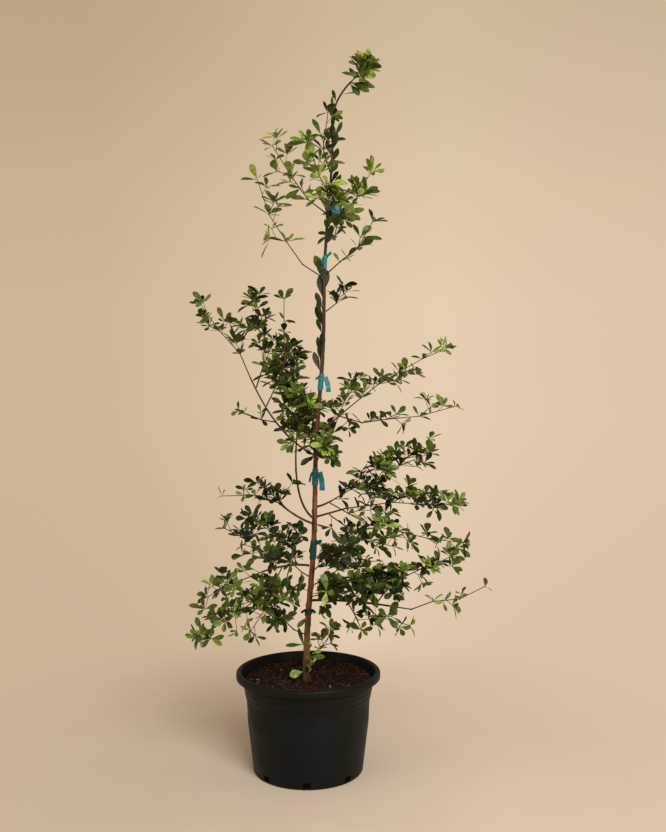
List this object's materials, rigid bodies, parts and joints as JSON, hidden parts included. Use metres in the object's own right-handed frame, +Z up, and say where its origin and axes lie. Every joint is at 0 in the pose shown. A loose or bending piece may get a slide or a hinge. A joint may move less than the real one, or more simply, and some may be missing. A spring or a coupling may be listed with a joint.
{
  "type": "potted black olive tree",
  "caption": "Slim young black olive tree with tiered boughs and small leathery leaves in whorls, in a round black nursery pot",
  "frame": {"origin": "centre of the pot's flat underside", "axes": "+Z up along the tree, +X to the right of the pictured view, -Y towards its viewer"},
  "size_m": [0.7595, 0.5679, 1.7655],
  "materials": {
    "pot_plastic": "black moulded nursery pot, satin",
    "soil_mulch": "dark bark mulch over potting mix",
    "trunk_bark": "reddish brown bark, finely fissured",
    "bough_bark": "brown bark, smooth",
    "leaf_green": "leathery leaves, deep to yellow green",
    "tie_tape": "teal stretch tape"
  },
  "bodies": {
    "root": {"pot": "pot_plastic", "soil": "soil_mulch", "trunk": "trunk_bark", "bough_left_middle": "bough_bark", "bough_right_middle": "bough_bark", "bough_front_left": "bough_bark", "bough_low_left_high": "bough_bark", "bough_low_right_high": "bough_bark", "bough_low_right_middle": "bough_bark", "bough_low_right_low": "bough_bark", "bough_low_left_low": "bough_bark", "leaves_crown_tip": "leaf_green", "leaves_leader": "leaf_green", "leaves_upper_left": "leaf_green", "leaves_upper_left_inner": "leaf_green", "leaves_upper_front": "leaf_green", "leaves_upper_left_low": "leaf_green", "leaves_upper_right": "leaf_green", "leaves_mid_upper_right": "leaf_green", "leaves_upper_back": "leaf_green", "leaves_trunk_right": "leaf_green", "leaves_left_outer": "leaf_green", "leaves_left_inner": "leaf_green", "leaves_left_high": "leaf_green", "leaves_left_low": "leaf_green", "leaves_left_centre": "leaf_green", "leaves_left_back": "leaf_green", "leaves_mid_back": "leaf_green", "leaves_front_centre": "leaf_green", "leaves_right_high": "leaf_green", "leaves_right_low": "leaf_green", "leaves_low_right_high": "leaf_green", "leaves_low_right_upper": "leaf_green", "leaves_low_right_outer": "leaf_green", "leaves_low_right_dense": "leaf_green", "leaves_low_right_inner": "leaf_green", "leaves_low_right_far": "leaf_green", "leaves_low_right_under": "leaf_green", "leaves_low_right_bottom": "leaf_green", "leaves_right_bare": "leaf_green", "leaves_low_front_right": "leaf_green", "leaves_low_front": "leaf_green", "leaves_low_back_right": "leaf_green", "leaves_low_back_left": "leaf_green", "leaves_low_left_high": "leaf_green", "leaves_left_thin": "leaf_green", "leaves_low_left_inner": "leaf_green", "leaves_low_left_middle": "leaf_green", "leaves_low_left_dense": "leaf_green", "leaves_low_left_outer": "leaf_green", "leaves_bottom_left": "leaf_green", "leaves_drooping_left": "leaf_green", "leaves_base_right": "leaf_green", "leaves_base_front": "leaf_green", "tie_1": "tie_tape", "tie_2": "tie_tape", "tie_3": "tie_tape", "tie_4": "tie_tape", "tie_5": "tie_tape", "tie_6": "tie_tape"}
  },
  "joints": []
}
